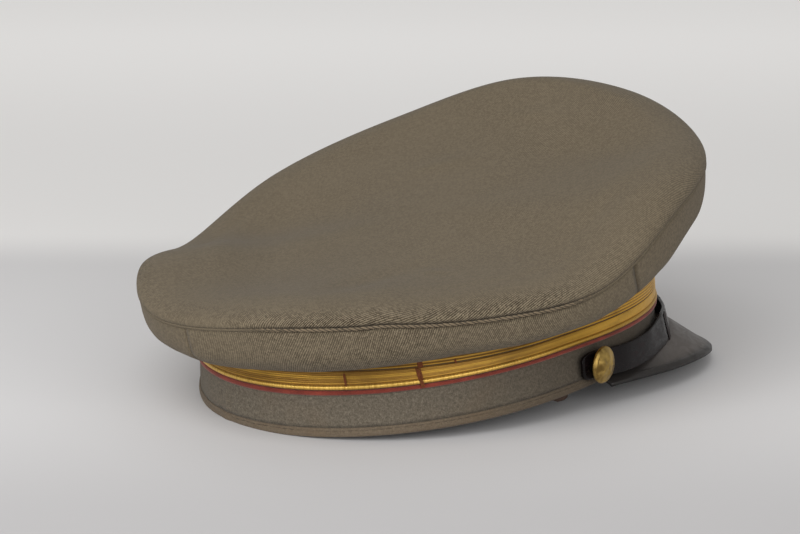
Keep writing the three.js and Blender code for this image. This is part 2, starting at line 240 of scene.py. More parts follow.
# Node maths
class Wire:  # a socket in a node tree; sums on it add Math nodes
    def __init__(self, tree, socket=None):
        self.tree = tree
        self.socket = socket

    def node(self, kind, settings=None, values=None, output=0):
        made = self.tree.nodes.new(kind)
        for name, value in (settings or {}).items():
            setattr(made, name, value)
        for name, value in (values or {}).items():
            if isinstance(value, Wire):
                self.tree.links.new(value.socket, made.inputs[name])
            else:
                made.inputs[name].default_value = value
        return Wire(self.tree, made.outputs[output])

    def other(self, output):  # of the same node
        return Wire(self.tree, self.socket.node.outputs[output])

    def maths(self, operation, *values):
        return self.node("ShaderNodeMath", {"operation": operation}, dict(enumerate(values)))

    def __add__(self, other):
        return self.maths("ADD", self, other)

    def __sub__(self, other):
        return self.maths("SUBTRACT", self, other)

    def __rsub__(self, other):
        return self.maths("SUBTRACT", other, self)

    def __mul__(self, other):
        return self.maths("MULTIPLY", self, other)

    def __truediv__(self, other):
        return self.maths("DIVIDE", self, other)

    def __rtruediv__(self, other):
        return self.maths("DIVIDE", other, self)

    __radd__ = __add__
    __rmul__ = __mul__

    def sine(self):
        return self.maths("SINE", self)

    def floor(self):
        return self.maths("FLOOR", self)

    def ramp(self, low, high, toLow=0.0, toHigh=1.0):
        return self.node("ShaderNodeMapRange", {"interpolation_type": "SMOOTHSTEP"},
                         {"Value": self, "From Min": low, "From Max": high,
                          "To Min": toLow, "To Max": toHigh})

    def mixed(self, first, second):  # a colour between two, by this share
        return self.node("ShaderNodeMix", {"data_type": "RGBA"}, {0: self, 6: first, 7: second}, 2)


def srgb(*levels):
    linear = [v / 255 / 12.92 if v <= 10 else ((v / 255 + 0.055) / 1.055) ** 2.4 for v in levels]
    return (*linear, 1.0)


class Finish:  # a material with one Principled shader
    def __init__(self, name, **constants):
        self.material = bpy.data.materials.new(name)
        self.material.use_nodes = True
        self.shader = self.material.node_tree.nodes["Principled BSDF"]
        for socket, value in constants.items():
            self.shader.inputs[socket.replace("_", " ")].default_value = value
        self.pen = Wire(self.material.node_tree)

    def split(self, vector, *axes):
        parts = self.pen.node("ShaderNodeSeparateXYZ", None, {0: vector})
        return [parts.other(axis) for axis in axes]

    def weave(self):  # along and across the cloth, in millimetres
        uv = self.pen.node("ShaderNodeUVMap", {"uv_map": "weave"})
        return uv, *self.split(uv, 0, 1)

    def place(self):
        return self.pen.node("ShaderNodeTexCoord", None, None, 3)

    def value(self, name):  # a value stored on the points
        return self.pen.node("ShaderNodeAttribute", {"attribute_name": name}, None, 2)

    def noise(self, vector, scale, detail=2.0, roughness=0.5, distortion=0.0):
        return self.pen.node("ShaderNodeTexNoise", None,
                             {"Vector": vector, "Scale": scale, "Detail": detail, "Roughness": roughness,
                              "Distortion": distortion})

    def stretch(self, vector, x, y, z=1.0):
        return self.pen.node("ShaderNodeVectorMath", {"operation": "MULTIPLY"}, {0: vector, 1: (x, y, z)})

    def feed(self, **wires):
        for socket, wire in wires.items():
            target = self.shader.inputs[socket.replace("_", " ")]
            self.material.node_tree.links.new(wire.socket, target)

    def bump(self, height, depth, strength=1.0):  # depth in millimetres
        self.feed(Normal=self.pen.node("ShaderNodeBump", None,
                                       {"Height": height, "Distance": depth / 1000, "Strength": strength}))


# The twill's seam colour is painted shade for the seam valleys
twill = {"thread": 0.8, "wobble": 1.1, "dark": srgb(48, 40, 30), "light": srgb(128, 116, 96),
         "faded": srgb(106, 96, 80), "seam": srgb(36, 29, 21), "depth": 0.24, "leanSpread": 0.35}


def twillFinish(name, pitch, lean, contrast):  # lean is across the ribs for each step up
    finish = Finish(name, Roughness=0.95, Sheen_Weight=0.06, Sheen_Roughness=0.5, Specular_IOR_Level=0.1)
    uv, u, v = finish.weave()
    drift = (finish.noise(uv, 0.09, 2.0) - 0.5) * twill["wobble"]
    turned = (finish.noise(uv, 0.014, 1.0) - 0.5) * twill["leanSpread"] + lean
    rib = (u + v * turned + drift) / pitch
    row = rib.floor()
    along = (v - u * lean) / twill["thread"] + row * 0.37 + (finish.noise(uv, 0.8, 1.0) - 0.5) * 0.9
    wave = (rib * turn - math.pi / 2).sine().ramp(-0.6, 1.0)
    thread = (along * turn).sine() * 0.5 + 0.5
    cell = finish.pen.node("ShaderNodeCombineXYZ", None, {0: row, 1: along.floor()})
    fleck = finish.pen.node("ShaderNodeTexWhiteNoise", {"noise_dimensions": "2D"}, {"Vector": cell})
    fuzz = finish.noise(uv, 1.7, 3.0, 0.7)
    clear = (finish.value("worn") * -0.75 + 1) * contrast  # the weave is rubbed soft where it is worn
    strand = wave * (thread * 0.4 + 0.6)
    height = (strand + (fuzz - 0.5) * 0.7) * clear
    shade = (strand * 0.62 + (fleck - 0.5) * 0.4 + (fuzz - 0.5) * 0.75 - 0.22) * clear + 0.5
    colour = shade.ramp(0.0, 1.0).mixed(twill["dark"], twill["light"])
    patches = finish.noise(uv, 0.022, 2.0, 0.5)
    colour = (patches.ramp(0.35, 0.75) * 0.2).mixed(colour, twill["faded"])
    # the seam value paints shade into the valleys by the welt and along the panel seams
    colour = (finish.value("seam") * 0.85).mixed(colour, twill["seam"])
    finish.feed(Base_Color=colour)
    finish.bump(height, twill["depth"], 0.9)
    return finish.material


# The felt's darker colour towards the peak is painted shade
felt = {"dark": srgb(71, 65, 56), "light": srgb(121, 112, 98), "hem": srgb(104, 85, 64),
        "paintedShade": srgb(52, 45, 37), "paintedShadeFrom": (0.085, -0.05), "depth": 0.18}


def feltFinish(name, browner=0.0):
    finish = Finish(name, Roughness=0.95, Sheen_Weight=0.08, Specular_IOR_Level=0.12)
    uv = finish.weave()[0]
    hairs = finish.noise(finish.stretch(uv, 1.0, 0.6), 2.2, 3.0, 0.7, 0.6)
    nap = finish.noise(uv, 0.7, 2.0, 0.6)
    patches = finish.noise(uv, 0.045, 2.0)
    shade = hairs * 0.75 + nap * 0.45 - 0.1
    colour = shade.ramp(0.25, 0.85).mixed(felt["dark"], felt["light"])
    colour = (patches.ramp(0.45, 0.8) * 0.2 + browner).mixed(colour, felt["hem"])
    [along] = finish.split(finish.place(), 1)  # painted shade, darker towards the peak
    colour = (along.ramp(*felt["paintedShadeFrom"]) * 0.7).mixed(colour, felt["paintedShade"])
    finish.feed(Base_Color=colour)
    finish.bump(hairs + nap * 0.6, felt["depth"], 0.8)
    return finish.material


# The edge golds are a painted highlight on the lace's rounded lower edge cord, and the front gold is painted
# light on the lace towards the peak
lace = {"bright": srgb(184, 144, 60), "worn": srgb(134, 98, 42), "dark": srgb(80, 54, 26), "pitch": 0.78,
        "edgeHighlight": srgb(228, 190, 100), "edgeDimHighlight": srgb(176, 134, 56), "front": srgb(208, 162, 62),
        "litFrontFrom": (-0.05, 0.035), "shineFrom": (-0.02, 0.05), "wrap": 1.25}


def laceFinish(name, worn, bright, tarnished, wrapsAndGlints):
    finish = Finish(name, Metallic=0.75, Specular_IOR_Level=0.4)
    uv, u, v = finish.weave()
    wraps = (u * (turn / lace["wrap"]) + v * 1.5).sine() * 0.5 + 0.5
    paintedGlints = finish.noise(uv, 0.9, 2.0, 0.7)
    row = v / lace["pitch"] + 0.5
    tone = finish.pen.node("ShaderNodeTexWhiteNoise", {"noise_dimensions": "1D"}, {"W": row.floor()})
    streaks = finish.noise(finish.stretch(uv, 0.05, 1.0), 1.4, 3.0, 0.6)
    tarnish = finish.noise(finish.stretch(uv, 0.35, 1.0), 0.14, 2.0, 0.5)
    grit = finish.noise(uv, 1.3, 2.0, 0.6)
    # speckled noise paints glints into the edge cord's colour
    tone = streaks * 0.6 + tone * 0.4 + grit * 0.4 + (paintedGlints - 0.5) * wrapsAndGlints * 2.2 - 0.2
    colour = tone.ramp(0.15, 0.85).mixed(worn, bright)
    [back] = finish.split(finish.place(), 1)
    if worn == lace["edgeDimHighlight"]:  # the edge is painted bright as a highlight at the rear, and duller towards the peak
        colour = back.ramp(*lace["shineFrom"]).mixed(lace["bright"], colour)
    else:
        # painted light: the lace is painted brighter towards the peak
        colour = back.ramp(*lace["litFrontFrom"]).mixed(lace["front"], colour)
    colour = (tarnish.ramp(0.45, 0.8) * tarnished + grit.ramp(0.55, 0.8) * 0.3).mixed(colour, lace["dark"])
    finish.feed(Base_Color=colour, Roughness=grit.ramp(0.2, 0.8, 0.28, 0.55))
    finish.bump(wraps * wrapsAndGlints + grit * 0.5, 0.12, 0.9)
    return finish.material


def clothFinish(name, dark, light):
    finish = Finish(name, Roughness=0.9, Sheen_Weight=0.2, Specular_IOR_Level=0.25)
    uv = finish.weave()[0]
    fibres = finish.noise(finish.stretch(uv, 0.8, 1.6), 1.6, 3.0, 0.65)
    worn = finish.noise(finish.stretch(uv, 1.0, 0.4), 0.09, 2.0)
    colour = (fibres * 0.7 + worn * 0.6 - 0.15).ramp(0.25, 0.8).mixed(dark, light)
    finish.feed(Base_Color=colour)
    finish.bump(fibres, 0.12, 0.7)
    return finish.material


def patentFinish(name, dark, light, roughness, coat, wave, gloss):
    finish = Finish(name, Coat_Roughness=0.15, Specular_IOR_Level=gloss)
    place = finish.place()
    dust = finish.noise(place, 900, 3.0, 0.6)
    scuffs = finish.noise(finish.stretch(place, 1.0, 1.0, 3.0), 160, 4.0, 0.6, 0.8)
    swells = finish.noise(place, 55, 2.0)
    colour = (scuffs.ramp(0.5, 0.78) * 0.6 + dust * 0.15).mixed(dark, light)
    # the seam value paints shade: on the peak it darkens the rim and the ends, and the underside
    colour = finish.value("seam").mixed(colour, srgb(16, 14, 13))
    finish.feed(Base_Color=colour, Roughness=scuffs.ramp(0.35, 0.75, roughness, roughness + 0.2),
                Coat_Weight=scuffs.ramp(0.4, 0.8, coat, coat * 0.4))
    finish.bump(swells + dust * 0.06, 0.5, wave)
    return finish.material


def leatherFinish(name, dark, light):
    finish = Finish(name, Roughness=0.6, Specular_IOR_Level=0.35)
    place = finish.place()
    pores = finish.pen.node("ShaderNodeTexVoronoi", {"feature": "DISTANCE_TO_EDGE"},
                            {"Vector": place, "Scale": 900.0})
    stains = finish.noise(place, 35, 4.0, 0.6)
    finish.feed(Base_Color=stains.ramp(0.35, 0.7).mixed(dark, light))
    finish.bump(pores.ramp(0.0, 0.25), 0.12, 0.6)
    return finish.material


def brassFinish(name):
    finish = Finish(name, Metallic=0.9)
    place = finish.place()
    spots = finish.noise(place, 420, 4.0, 0.6)
    clouds = finish.noise(place, 130, 2.0)
    colour = (clouds * 0.7 + spots * 0.5 - 0.1).ramp(0.3, 0.75).mixed(srgb(110, 86, 42), srgb(190, 160, 90))
    finish.feed(Base_Color=colour, Roughness=spots.ramp(0.3, 0.8, 0.3, 0.55))
    finish.bump(spots, 0.1, 0.5)
    return finish.material


def threadFinish(name, colour):
    finish = Finish(name, Roughness=0.8, Specular_IOR_Level=0.3)
    fuzz = finish.noise(finish.place(), 2500, 2.0)
    finish.feed(Base_Color=fuzz.mixed(tuple(0.7 * c for c in colour[:3]) + (1.0,), colour))
    finish.bump(fuzz, 0.05)
    return finish.material


twillTop = twillFinish("twillTop", 0.8, 0.1, 1.15)
twillSide = twillFinish("twillSide", 0.88, 0.4, 0.9)
twillWelt = twillFinish("twillWelt", 0.8, 1.2, 0.7)
bandFelt = feltFinish("bandFelt")
hemFelt = feltFinish("hemFelt", 0.35)
goldLace = laceFinish("goldLace", lace["worn"], lace["bright"], 0.45, 0.0)
# The lower edge cord is painted paler as a highlight
goldEdge = laceFinish("goldEdge", lace["edgeDimHighlight"], lace["edgeHighlight"], 0.2, 0.6)
# The lace's backing is dark to paint shade in the gaps between the lace rows
laceGroundShade = clothFinish("laceGroundShade", srgb(84, 60, 28), srgb(126, 92, 42))
redCloth = clothFinish("redCloth", srgb(88, 32, 24), srgb(136, 58, 44))
darkRedCloth = clothFinish("darkRedCloth", srgb(60, 26, 20), srgb(108, 56, 40))
# The peak's grey base colours are a painted sheen, the reflection of the pale room on black patent
peakPatentSheen = patentFinish("peakPatentSheen", srgb(82, 76, 72), srgb(90, 84, 79), 0.45, 0.12, 0.1, 0.3)
strapPatent = patentFinish("strapPatent", srgb(8, 6, 6), srgb(44, 31, 33), 0.25, 0.14, 1.0, 0.08)
keeperPatent = patentFinish("keeperPatent", srgb(20, 12, 11), srgb(64, 36, 30), 0.4, 0.05, 0.4, 0.05)
sweatLeather = leatherFinish("sweatLeather", srgb(26, 18, 14), srgb(62, 43, 32))
buttonBrass = brassFinish("buttonBrass")
darkThread = threadFinish("darkThread", srgb(60, 50, 40))
ropeThread = threadFinish("ropeThread", srgb(116, 102, 82))
rustThread = threadFinish("rustThread", srgb(116, 62, 30))
print("materials made")


# Trees that grow stitches and cords along a path
def openTree(name, inputs):  # gives the tree, its node method and a wire from each input
    tree = bpy.data.node_groups.new(name, "GeometryNodeTree")
    for label, kind in inputs.items():
        tree.interface.new_socket(label, in_out="INPUT", socket_type="NodeSocket" + kind)
    tree.interface.new_socket("Result", in_out="OUTPUT", socket_type="NodeSocketGeometry")
    entry = tree.nodes.new("NodeGroupInput")
    return tree, Wire(tree).node, [Wire(tree, entry.outputs[label]) for label in inputs]


def closeTree(tree, made, material):
    node = Wire(tree).node
    real = node("GeometryNodeRealizeInstances", None, {0: made})
    soft = node("GeometryNodeSetShadeSmooth", None, {0: real})
    finished = node("GeometryNodeSetMaterial", None, {"Geometry": soft, "Material": material})
    tree.links.new(finished.socket, tree.nodes.new("NodeGroupOutput").inputs[0])
    return tree


def stitchTree():
    tree, node, (path, spacing, length, thickness, slant, thread) = openTree("stitchRow", {
        "Path": "Geometry", "Spacing": "Float", "Length": "Float", "Thickness": "Float", "Slant": "Float",
        "Thread": "Material"})
    curve = node("GeometryNodeMeshToCurve", None, {0: path})
    spaced = node("GeometryNodeResampleCurve", {"mode": "LENGTH"}, {"Curve": curve, "Length": spacing})
    outward = node("GeometryNodeInputNamedAttribute", {"data_type": "FLOAT_VECTOR"}, {"Name": "outward"})
    tangent = node("GeometryNodeInputTangent")
    along = node("FunctionNodeAlignRotationToVector", {"axis": "X"}, {"Vector": tangent})
    facing = node("FunctionNodeAlignRotationToVector", {"axis": "Z", "pivot_axis": "X"},
                  {"Rotation": along, "Vector": outward})
    swing = node("FunctionNodeAxisAngleToRotation", None, {"Axis": (0, 0, 1), "Angle": slant})
    slanted = node("FunctionNodeRotateRotation", {"rotation_space": "LOCAL"},
                   {"Rotation": facing, "Rotate By": swing})
    radius = thickness * 0.5
    size = node("ShaderNodeCombineXYZ", None, {0: length * 0.5, 1: radius, 2: radius})
    uneven = node("FunctionNodeRandomValue", {"data_type": "FLOAT"}, {2: 0.85, 3: 1.15, "Seed": 11}, 1)
    sized = node("ShaderNodeVectorMath", {"operation": "SCALE"}, {0: size, "Scale": uneven})
    bead = node("GeometryNodeMeshUVSphere", None, {"Segments": 8, "Rings": 6, "Radius": 1.0})
    placed = node("GeometryNodeInstanceOnPoints", None,
                  {"Points": spaced, "Instance": bead, "Rotation": slanted, "Scale": sized})
    return closeTree(tree, placed, thread)


def cordTree():  # cords side by side: each is moved across by its number, and keeps its own weave map
    tree, node, (path, rows, pitch, radius, sides, material) = openTree("cordRows", {
        "Path": "Geometry", "Rows": "Int", "Pitch": "Float", "Radius": "Float", "Sides": "Int",
        "Material": "Material"})
    curve = node("GeometryNodeMeshToCurve", None, {0: path})
    copies = node("GeometryNodeDuplicateElements", {"domain": "SPLINE"}, {"Geometry": curve, "Amount": rows})
    across = node("GeometryNodeInputNamedAttribute", {"data_type": "FLOAT_VECTOR"}, {"Name": "across"})
    step = copies.other("Duplicate Index") * pitch
    shift = node("ShaderNodeVectorMath", {"operation": "SCALE"}, {0: across, "Scale": step})
    moved = node("GeometryNodeSetPosition", None, {"Geometry": copies, "Offset": shift})
    length = node("GeometryNodeSplineParameter", None, None, "Length")
    kept = tree.nodes.new("GeometryNodeCaptureAttribute")
    kept.domain = "POINT"
    for label in ("along", "row"):
        kept.capture_items.new("FLOAT", label)
    for k, wire in enumerate((moved, length, step)):
        tree.links.new(wire.socket, kept.inputs[k])
    cords, along, row = (Wire(tree, kept.outputs[k]) for k in range(3))
    circle = node("GeometryNodeCurvePrimitiveCircle", None, {"Resolution": sides, "Radius": radius})
    tube = node("GeometryNodeCurveToMesh", None, {"Curve": cords, "Profile Curve": circle})
    pair = node("ShaderNodeCombineXYZ", None, {0: along, 1: row})
    inMillimetres = node("ShaderNodeVectorMath", {"operation": "SCALE"}, {0: pair, "Scale": 1000.0})
    mapped = node("GeometryNodeStoreNamedAttribute", {"data_type": "FLOAT2", "domain": "CORNER"},
                  {"Geometry": tube, "Name": "weave", "Value": inMillimetres})
    return closeTree(tree, mapped, material)


def grown(name, points, attribute, vectors, tree, values, closed=True):  # what the tree makes of a path
    count = len(points)
    mesh = bpy.data.meshes.new("path")
    mesh.from_pydata(toPart(points).tolist(), [(i, (i + 1) % count) for i in range(count - (not closed))], [])
    layer = mesh.attributes.new(attribute, "FLOAT_VECTOR", "POINT")
    layer.data.foreach_set("vector", (toPart(vectors) - capOrigin).ravel() * 1000)
    path = linked("path", mesh)
    modifier = path.modifiers.new("grow", "NODES")
    modifier.node_group = tree
    identifiers = {item.name: item.identifier for item in tree.interface.items_tree if item.in_out == "INPUT"}
    for label, value in values.items():
        modifier[identifiers[label]] = value
    graph = bpy.context.evaluated_depsgraph_get()
    result = bpy.data.meshes.new_from_object(path.evaluated_get(graph))
    result.name = name
    bpy.data.objects.remove(path)
    return linked(name, result)


def stitchRow(name, t, points, style, thread, slot, closed=True):
    values = {label: style[label.lower()] / 1000 for label in ("Spacing", "Length", "Thickness")}
    values.update(Slant=style.get("slant", 0.0), Thread=thread)
    return dress(grown(name, points, "outward", normals(t), stitches, values, closed), slot)


def cordRows(name, t, out, up, rows, pitch, radius, sides, material, slot):
    points = place(t, out, up)
    mean = float(np.mean(pitch))
    across = np.zeros_like(points)
    across[:, 2] = pitch / mean
    values = {"Rows": rows, "Pitch": mean / 1000, "Radius": radius / 1000, "Sides": sides,
              "Material": material}
    return dress(grown(name, points, "across", across, cords, values), slot)


stitches, cords = stitchTree(), cordTree()
ringT = np.arange(band["steps"]) * turn / band["steps"]


# Band, hem and sweatband
def bandWrinkles(t):
    return band["wrinkle"] * waves(t, band["wrinkleWaves"])


def rearSeam(t):
    return band["rearSeam"] * bell(angleGap(t, math.pi), band["rearSeamWidth"])


hem = {"lower": -0.5, "height": 3.6, "proud": 0.9, "round": 0.8, "overlap": 0.4, "groove": 0.32,
       "grooveWidth": 0.16, "grooveAt": 0.4, "grooveWaves": ((9, 0.5, 0.1), (23, 0, 0.06)), "seamShare": 0.6}


def bandSection(t):
    low, middle, high = hem["height"] - hem["overlap"], trimBase(t) + 0.4, bandTop(t)
    section = []
    for share in np.linspace(0, 1, 9):
        ripple = (bandWrinkles(t) + rearSeam(t)) * math.sin(math.pi * min(share + 0.1, 1))
        section.append((lerp(flare(t), 0, share) + ripple, lerp(low, middle, share)))
    section += [(0, lerp(middle, high, share)) for share in (0.35, 0.7, 1)]
    section += [(-band["wall"], lerp(high, low, share)) for share in (0, 0.5)]
    return section + [(flare(t) - band["wall"], low)]


def hemSection(t):
    proud = hem["proud"] + flare(t) + rearSeam(t) * hem["seamShare"] - 0.75
    inner = flare(t) - band["wall"]
    lower, upper = hem["lower"], hem["height"] - gap
    middle, half = (lower + upper) / 2, (upper - lower) / 2
    dip = hem["grooveAt"] + waves(t, hem["grooveWaves"])  # where the stitched groove runs
    section = []
    for angle in np.linspace(-90, 90, 19) * degree:
        groove = hem["groove"] * bell(math.sin(angle) - dip, hem["grooveWidth"])
        out = proud + hem["round"] * math.cos(angle) ** 0.6 - groove
        section.append((out, middle + half * math.sin(angle)))
    section += [(inner, up) for up in (upper, middle, lower)]
    return [(out, np.maximum(up, groundHeight(place(t, out, up)[:, 1]) + groundGap)) for out, up in section]


dress(ringPiece("bandCloth", bandSection, bandFelt), "band_cloth", "band")
dress(ringPiece("bandHem", hemSection, hemFelt), "band_cloth", "band_hem")
hemStitch = {"height": 2.2, "sunk": 0.3, "spacing": 3.1, "length": 2.5, "thickness": 0.24}
hemOut = hem["proud"] + flare(ringT) - hemStitch["sunk"]
stitchRow("hemStitches", ringT, place(ringT, hemOut, hemStitch["height"]), hemStitch, darkThread,
          "band_cloth")

sweat = {"leather": 1.1, "height": 30, "lower": 0.2, "peepAngle": 88.8 * degree, "peepWidth": 2.7 * degree,
         "peepDrop": 3.3, "peepOut": 0.5, "round": 0.3, "waves": ((7, 1, 0.25), (19, 0, 0.15))}


def sweatSection(t):
    outer, round_, top = -band["wall"] - gap, sweat["round"], sweat["height"]
    inner = outer - sweat["leather"]
    middle = (outer + inner) / 2
    peep = sweat["peepDrop"] * np.exp(-(angleGap(t, sweat["peepAngle"]) / sweat["peepWidth"]) ** 4)
    low, shift = sweat["lower"] - peep, sweat["peepOut"] * peep
    wave = waves(t, sweat["waves"])
    return [(outer + shift, low), (outer, low + 2), (outer, 12), (outer, top - round_), (middle, top),
            (inner, top - round_), (inner - 0.3 + 0.3 * wave, 20), (inner - 0.4 + 0.5 * wave, 12),
            (inner - 0.1, low + 3), (inner + shift, low + round_), (middle + shift, low - 0.2)]


dress(ringPiece("sweatband", sweatSection, sweatLeather), "sweat_leather", "sweatband")
print("band made")

# Trim round the band: piping, two rows of metal lace and a dark red edge
trim = {"backOut": 0.25, "pipingHeight": 2.0, "pipingProud": 1.4, "thinPiping": 0.5, "lowerLace": 8.6,
        "upperLace": 6.2, "topEdge": 1.5, "edgeProud": 1.2, "groundProud": 0.75, "cordOut": 0.58,
        "ribOut": 0.4, "ribRadius": 0.6, "ribRoom": 0.75, "sink": 2.6,
        "sinkFrom": (95 * degree, 165 * degree)}


def towardsFront(t):
    return 1 - smooth(np.abs(angleGap(t, 0)), *trim["sinkFrom"])


def strip(name, start, height, proud, round_, material, slot, node):  # start and height may change with t
    def section(t):
        low, tall = start(t), height(t)
        face = [(trim["backOut"], low)]
        for angle in np.linspace(-90, 90, 9) * degree:
            out = proud - round_ + round_ * math.cos(angle) ** 0.5
            face.append((out, low + tall / 2 + (tall / 2) * math.sin(angle)))
        return face + [(trim["backOut"], low + tall)]
    return dress(ringPiece(name, section, material), slot, node)


def pipingTop(t):
    return trimBase(t) + trim["pipingHeight"]


def laceJoint(t):  # where the upper row of lace starts; it sinks towards the front
    return pipingTop(t) + 2 * gap + trim["lowerLace"] - trim["sink"] * towardsFront(t)


def laceTop(t):
    return pipingTop(t) + 2 * gap + trim["lowerLace"] + trim["upperLace"]


def pipingLow(t):
    return trimBase(t) + trim["thinPiping"] * towardsFront(t)


strip("redPiping", pipingLow, lambda t: pipingTop(t) - pipingLow(t), trim["pipingProud"], 1.0, redCloth,
      "red_piping", "piping_red")
lacePieces = (("laceLower", "braid_lower", lambda t: pipingTop(t) + gap, lambda t: laceJoint(t) - gap,
               1.0, goldEdge, 7),
              ("laceUpper", "braid_upper", laceJoint, laceTop, 0.45, goldLace, 6))
for label, node, bottom, summit, cord, look, rows in lacePieces:
    tall = lambda t: summit(t) - bottom(t)
    strip(label, bottom, tall, trim["groundProud"], 0.2, laceGroundShade, "gold_lace", node)
    pitch = (tall(ringT) - 2 * cord - trim["ribRoom"]) / rows
    lowest = bottom(ringT) + 2 * cord + gap + pitch * 0.4
    cordRows(label + "Ribs", ringT, trim["ribOut"], lowest, rows, pitch, trim["ribRadius"], 8, goldLace,
             "gold_lace")
    cordRows(label + "Edge", ringT, trim["cordOut"], bottom(ringT) + cord, 1, 1, cord, 10, look, "gold_lace")
strip("topEdge", lambda t: laceTop(t) + gap, lambda t: trim["topEdge"], trim["edgeProud"], 0.6, darkRedCloth,
      "dark_piping", "piping_top")

# Tacks across the lace, where it was sewn down again
tacks = ({"at": 123.9, "height": 10.6, "length": 3.6, "width": 1.8, "slant": 96, "out": 1.15},
         {"at": 124.2, "height": 6.4, "length": 6.4, "width": 1.6, "slant": 100, "out": 1.3},
         {"at": 123.8, "height": 2.6, "length": 3.8, "width": 1.0, "slant": 100, "out": 1.9},
         {"at": 141.6, "height": 6.6, "length": 6.6, "width": 0.5, "slant": 94, "out": 1.35},
         {"at": 115.8, "height": 9.6, "length": 2.4, "width": 0.3, "slant": 98, "out": 1.3})
for k, tack in enumerate(tacks):
    reach = tack["width"] / 2 / band["halfLength"]
    t = np.linspace(tack["at"] * degree - reach, tack["at"] * degree + reach, 9)
    style = {"spacing": 0.4, "length": tack["length"], "thickness": 0.5, "slant": tack["slant"] * degree}
    points = place(t, tack["out"], trimBase(t) + tack["height"])
    stitchRow("laceTack" + str(k + 1), t, points, style, rustThread, "gold_lace", closed=False)
print("trim made")

# Crown. Stations round it: reach out from the band and height of its seam, and the top's rise above the seam
crown = {"stations": ((27, 83.5, 9.5), (26, 73, 10), (22, 65.5, 10.5), (24.5, 47.5, 9.5), (20, 49, 8),
                      (27, 53, 7.5), (26.5, 49.5, 7), (21, 52.5, 7), (22, 43.5, 7.5), (24, 58, 9.5),
                      (22.5, 71, 11), (24.5, 84.5, 11)),
         "cloth": 2, "sag": 7, "shoulderInset": 18.8, "shoulderSwell": 2, "bulgeRise": 0.45,
         "shoulderTurn": 0.25, "fold": (31.6, 52.3), "foldReach": 0.5, "bellyReach": 0.9,
         "bellyRise": (0.33, 0.43), "rootOut": -1.2, "rollOut": (2.6, 1.8), "rollUp": (-0.6, 5),
         "steps": 320}
welt = {"half": 0.85, "proud": 0.55, "sewn": 0.3, "steps": 480, "points": 12, "valley": 0.6,
        "valleyWidth": 1.6, "shadeWidth": 0.85, "shade": 0.6,
        "clear": ((84 * degree, 99 * degree), (146 * degree, 164 * degree)),
        "faint": 0.12, "bends": ((131 * degree, 4.5 * degree, 0.6), (116 * degree, 9 * degree, -1.0))}


def crownStation(t):
    rows = np.array(crown["stations"], float)
    count = len(rows)
    at = (np.asarray(t) / turn % 1) * count
    i = np.floor(at).astype(int)
    near = [rows[(i + k) % count] for k in (-1, 0, 1, 2)]
    reach, seam, rise = np.moveaxis(catmull(*near, (at - i)[..., None]), -1, 0)
    for angle, width, height in welt["bends"]:  # the seam wavers a little
        seam = seam + height * bell(angleGap(t, angle), width)
    return np.stack([reach, seam, rise])


def seamClear(t):  # 1 where the seam stands out and less where it is pressed flat
    away = np.abs(angleGap(t, 0))
    opened, closed = welt["clear"]
    return lerp(welt["faint"], 1, smooth(away, *opened) * (1 - smooth(away, *closed)))


def sideProfile(t, share):
    reach, seam, _ = crownStation(t)
    front = frontShare(t)
    base = bandTop(t) + gap
    fold = lerp(*crown["fold"], front)
    belly = fold + lerp(*crown["bellyRise"], front) * (seam - fold)
    knots = [(crown["rootOut"] + 0 * t, base),
             (lerp(*crown["rollOut"], front), base + lerp(*crown["rollUp"], front)),
             (crown["foldReach"] * reach, fold), (crown["bellyReach"] * reach, belly), (reach, seam)]
    knots = np.stack([np.stack(np.broadcast_arrays(*knot), -1) for knot in knots], -2)
    last = knots.shape[-2] - 1
    at = np.clip(share, 0, 1) * last
    i = np.minimum(np.floor(at).astype(int), last - 1)

    def knot(k):
        index = np.clip(i + k, 0, last)[..., None, None]
        return np.take_along_axis(knots, np.broadcast_to(index, (*index.shape[:-1], 2)), -2)[..., 0, :]

    return catmull(knot(-1), knot(0), knot(1), knot(2), (at - i)[..., None])


def shoulderProfile(t, share):
    reach, seam, rise = crownStation(t)
    inset = crown["shoulderInset"]
    knots = [(reach, seam), (reach + crown["shoulderSwell"], seam + crown["bulgeRise"] * rise),
             (reach - crown["shoulderTurn"] * inset, seam + rise), (reach - inset, seam + rise)]
    a, b, c, d = (np.stack(knot, -1) for knot in knots)
    s = np.asarray(share)[..., None]
    return a * (1 - s) ** 3 + 3 * b * s * (1 - s) ** 2 + 3 * c * s * s * (1 - s) + d * s ** 3


def offsetPoint(profile, t, share, depth):  # moved inwards by depth along the profile's normal
    step = 0.002
    at = profile(t, share)
    way = profile(t, np.minimum(share + step, 1)) - profile(t, np.maximum(share - step, 0))
    way /= np.linalg.norm(way, axis=-1, keepdims=True)
    return at[..., 0] - way[..., 1] * depth, at[..., 1] + way[..., 0] * depth


def shareAtHeight(profile, t, height):  # where a rising profile passes a height
    low, high = np.zeros_like(t), np.ones_like(t)
    for _ in range(24):
        middle = (low + high) / 2
        below = profile(t, middle)[..., 1] < height
        low, high = np.where(below, middle, low), np.where(below, high, middle)
    return (low + high) / 2


# Side of the crown: three panels with puckers, gathered a little at the fold
side = {"rows": 44, "puckerDepth": 0.5, "puckerWaves": ((11, 0.6, 1), (17, 2.1, 0.6)),
        "finePuckers": ((29, 1.3, 0.16), (43, 4.0, 0.12), (61, 2.6, 0.07)),
        "quarterSeam": 73.125 * degree, "seamBend": 9 * degree, "seamValley": 0.4, "seamWidth": 1.0,
        "rearSeam": 171.5 * degree, "rearShare": 0.4, "rearReach": 0.4, "worn": (0.2, 0.75)}


def pucker(t, share):
    fine = waves(t, side["finePuckers"], 2 * share) * (0.35 + 0.65 * (1 - share))
    return (side["puckerDepth"] * waves(t, side["puckerWaves"]) + fine) * np.sin(math.pi * share)


def quarterSeam(share):  # the seam bends to the rear as it rises
    return side["quarterSeam"] + side["seamBend"] * (smooth(share, 0.25, 1.0) - 0.45)


